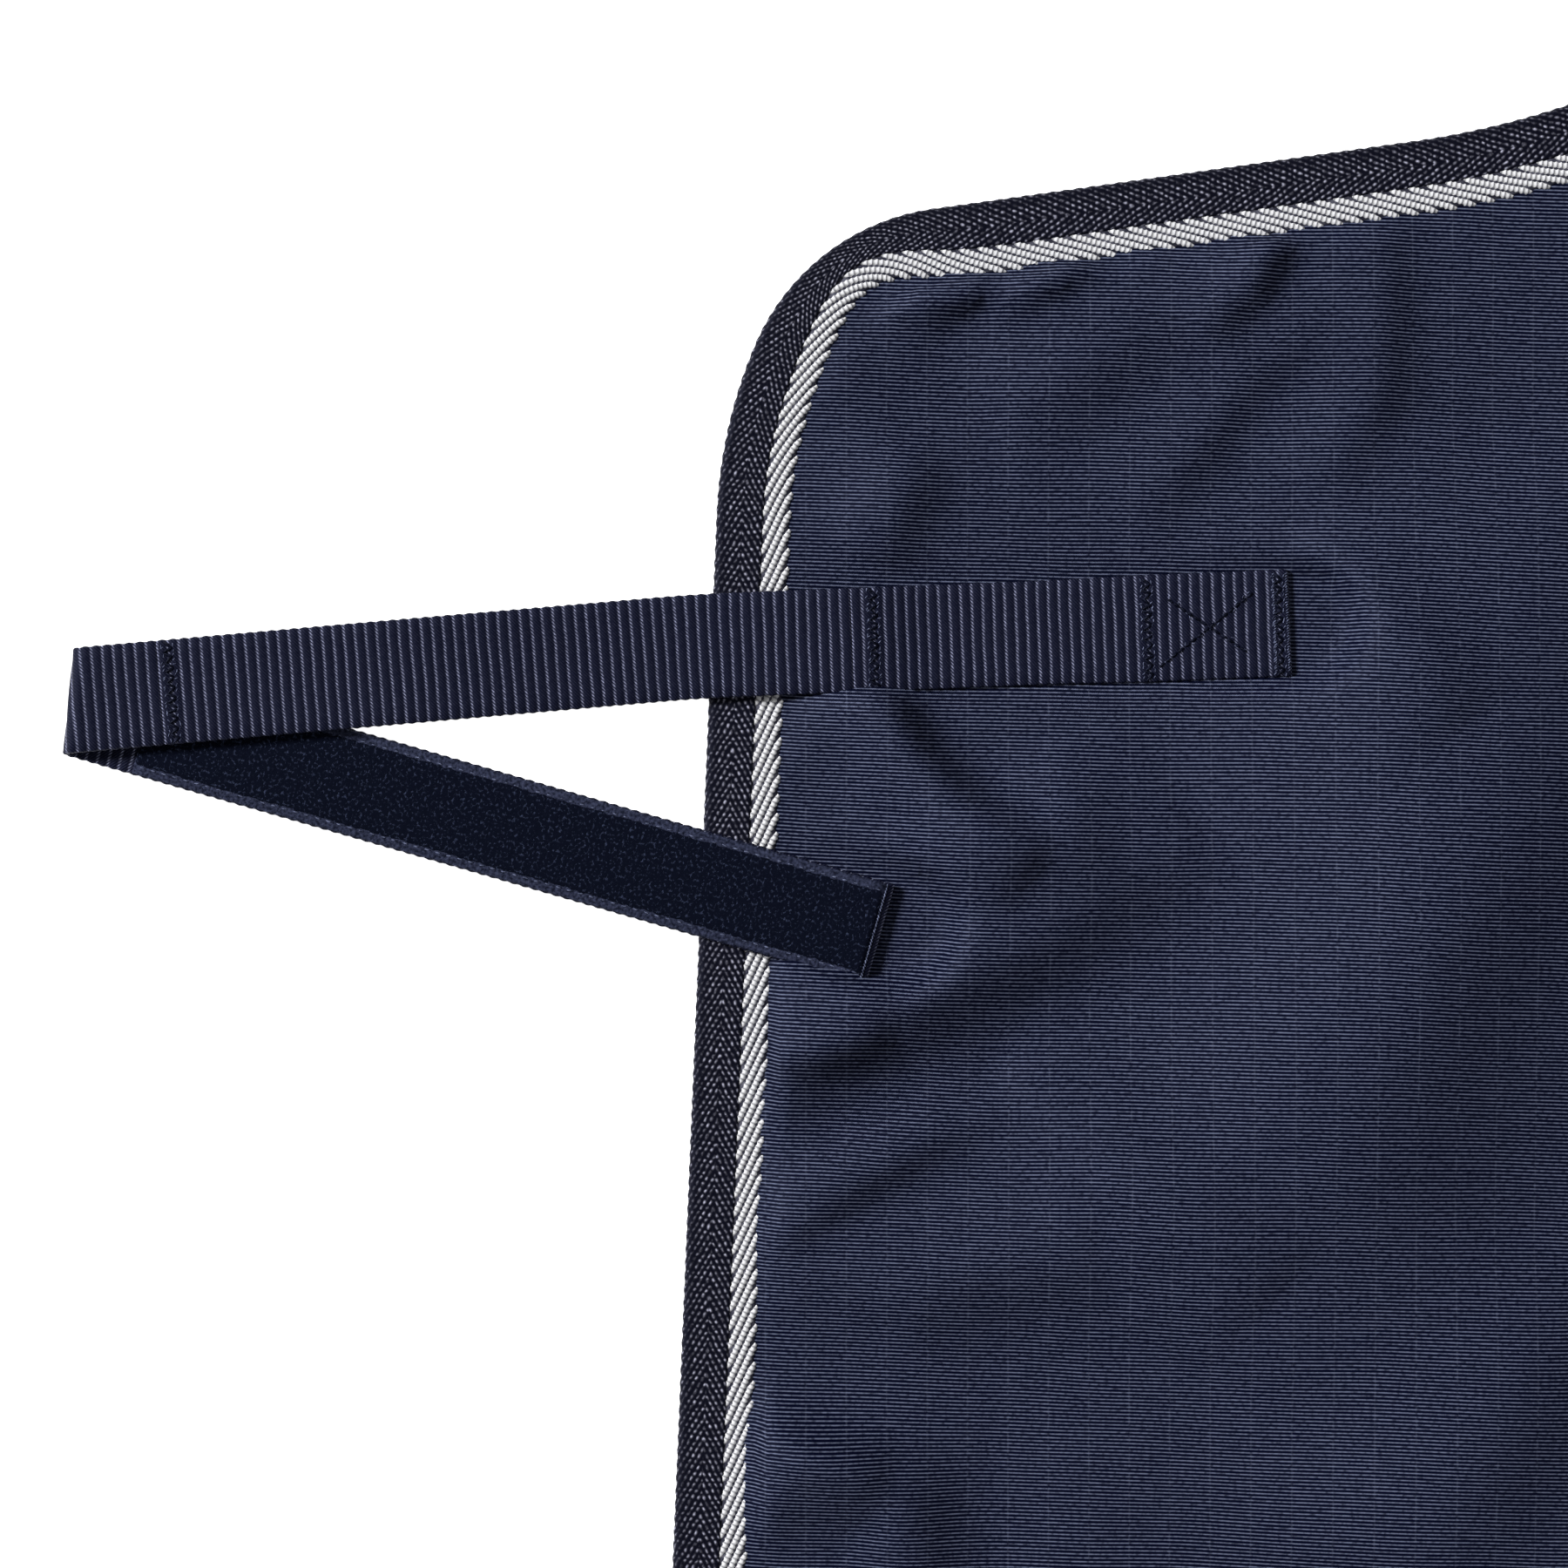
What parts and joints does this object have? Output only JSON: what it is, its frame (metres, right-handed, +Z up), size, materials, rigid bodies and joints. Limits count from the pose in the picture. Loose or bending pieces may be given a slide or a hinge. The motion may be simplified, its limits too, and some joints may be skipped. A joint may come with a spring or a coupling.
{
  "type": "turnout rug",
  "caption": "Horse turnout rug laid open, with bound edges, contrast tape, a webbing chest strap, belly surcingles, leg-strap rings and a tail flap.",
  "frame": {"origin": "middle of the laid-out rug, on the surface that it lies on", "axes": "+X along the spine towards the tail, +Z up out of the rug's outer side, near (left) side at -Y"},
  "size_m": [2.3292, 1.7, 0.0114],
  "materials": {
    "outer_cloth": "fine ribbed polyester, coated, slight sheen",
    "shoulder_lining": "smooth nylon",
    "body_lining": "polyester mesh",
    "binding": "herringbone polypropylene tape",
    "contrast_tape": "twill tape with beaded yarns",
    "webbing": "cross-ribbed webbing",
    "hook_tape": "woven hook tape",
    "loop_tape": "brushed loop pile",
    "ring_steel": "nickel-plated wire",
    "surcingle_metal": "nickel-plated plate"
  },
  "bodies": {
    "back": {"back_outer": "outer_cloth", "back_shoulder_lining": "shoulder_lining", "back_body_lining": "body_lining", "back_binding": "binding", "back_contrast_tape": "contrast_tape", "chest_ring_tab": "webbing", "off_leg_ring_tab": "webbing", "front_surcingle_patch": "outer_cloth", "front_surcingle_anchor": "webbing", "rear_surcingle_patch": "outer_cloth", "rear_surcingle_anchor": "webbing"},
    "near_flank": {"near_outer": "outer_cloth", "near_shoulder_lining": "shoulder_lining", "near_body_lining": "body_lining", "near_binding": "binding", "near_contrast_tape": "contrast_tape", "chest_strap_anchor": "webbing", "near_leg_ring_tab": "webbing", "front_surcingle_tab": "webbing", "rear_surcingle_tab": "webbing"},
    "tail_flap": {"tail_flap_outer": "outer_cloth", "tail_flap_lining": "body_lining", "tail_flap_binding": "binding", "tail_flap_contrast_tape": "contrast_tape"},
    "chest_strap": {"chest_strap_leg": "webbing", "chest_hook_tape": "hook_tape"},
    "chest_strap_end": {"chest_strap_return": "webbing", "chest_loop_tape": "loop_tape"},
    "chest_ring": {"chest_ring": "ring_steel"},
    "near_leg_ring": {"near_leg_ring": "ring_steel"},
    "off_leg_ring": {"off_leg_ring": "ring_steel"},
    "front_surcingle_strap": {"front_surcingle_strap": "webbing"},
    "front_surcingle_slider": {"front_surcingle_slider": "surcingle_metal"},
    "front_surcingle_hook": {"front_surcingle_hook": "surcingle_metal"},
    "front_surcingle_eye": {"front_surcingle_eye": "surcingle_metal"},
    "rear_surcingle_strap": {"rear_surcingle_strap": "webbing"},
    "rear_surcingle_slider": {"rear_surcingle_slider": "surcingle_metal"},
    "rear_surcingle_hook": {"rear_surcingle_hook": "surcingle_metal"},
    "rear_surcingle_eye": {"rear_surcingle_eye": "surcingle_metal"}
  },
  "joints": [
    {"name": "near_flank_fold", "type": "hinge", "parent": "back", "child": "near_flank", "pos_m": [0, -0.2, 0.0033], "axis": [-1, 0, 0], "range_deg": [0, 155]},
    {"name": "tail_flap_lift", "type": "hinge", "parent": "back", "child": "tail_flap", "pos_m": [0.86447, 0, 0.0033], "axis": [0, -1, 0], "range_deg": [0, 85]},
    {"name": "chest_strap_lift", "type": "hinge", "parent": "near_flank", "child": "chest_strap", "pos_m": [-0.90893, -0.43885, 0.0041], "axis": [0, 1, 0], "range_deg": [0, 170]},
    {"name": "chest_strap_unfold", "type": "hinge", "parent": "chest_strap", "child": "chest_strap_end", "pos_m": [-1.16026, -0.45724, 0.00665], "axis": [0.0958, 0.9954, 0], "range_deg": [0, 42.5]},
    {"name": "chest_ring_swing", "type": "hinge", "parent": "back", "child": "chest_ring", "pos_m": [-0.98492, 0.44168, 0.0063], "axis": [0, 1, 0], "range_deg": [0, 150]},
    {"name": "near_leg_ring_swing", "type": "hinge", "parent": "near_flank", "child": "near_leg_ring", "pos_m": [0.84032, -0.57, 0.0063], "axis": [0, -1, 0], "range_deg": [0, 150]},
    {"name": "off_leg_ring_swing", "type": "hinge", "parent": "back", "child": "off_leg_ring", "pos_m": [0.84032, 0.57, 0.0063], "axis": [0, -1, 0], "range_deg": [0, 150]},
    {"name": "front_surcingle_swing", "type": "hinge", "parent": "back", "child": "front_surcingle_strap", "pos_m": [-0.20568, 0.69, 0.0049], "axis": [-1, 0, 0], "range_deg": [0, 150]},
    {"name": "front_surcingle_slide", "type": "slide", "parent": "front_surcingle_strap", "child": "front_surcingle_slider", "axis": [0, -1, 0], "range_m": [0, 0.15]},
    {"name": "front_surcingle_hook_swing", "type": "hinge", "parent": "front_surcingle_strap", "child": "front_surcingle_hook", "pos_m": [-0.20568, -0.11, 0.008], "axis": [-1, 0, 0], "range_deg": [0, 90]},
    {"name": "front_surcingle_eye_swing", "type": "hinge", "parent": "near_flank", "child": "front_surcingle_eye", "pos_m": [-0.20568, -0.7, 0.0063], "axis": [-1, 0, 0], "range_deg": [0, 120]},
    {"name": "rear_surcingle_swing", "type": "hinge", "parent": "back", "child": "rear_surcingle_strap", "pos_m": [0.17432, 0.69, 0.0049], "axis": [-1, 0, 0], "range_deg": [0, 150]},
    {"name": "rear_surcingle_slide", "type": "slide", "parent": "rear_surcingle_strap", "child": "rear_surcingle_slider", "axis": [0, -1, 0], "range_m": [0, 0.15]},
    {"name": "rear_surcingle_hook_swing", "type": "hinge", "parent": "rear_surcingle_strap", "child": "rear_surcingle_hook", "pos_m": [0.17432, -0.11, 0.008], "axis": [-1, 0, 0], "range_deg": [0, 90]},
    {"name": "rear_surcingle_eye_swing", "type": "hinge", "parent": "near_flank", "child": "rear_surcingle_eye", "pos_m": [0.17432, -0.7, 0.0063], "axis": [-1, 0, 0], "range_deg": [0, 120]}
  ],
  "couplings": [
    {"joint": "chest_strap_unfold", "follows": "chest_strap_lift", "ratio": 0.25}
  ]
}
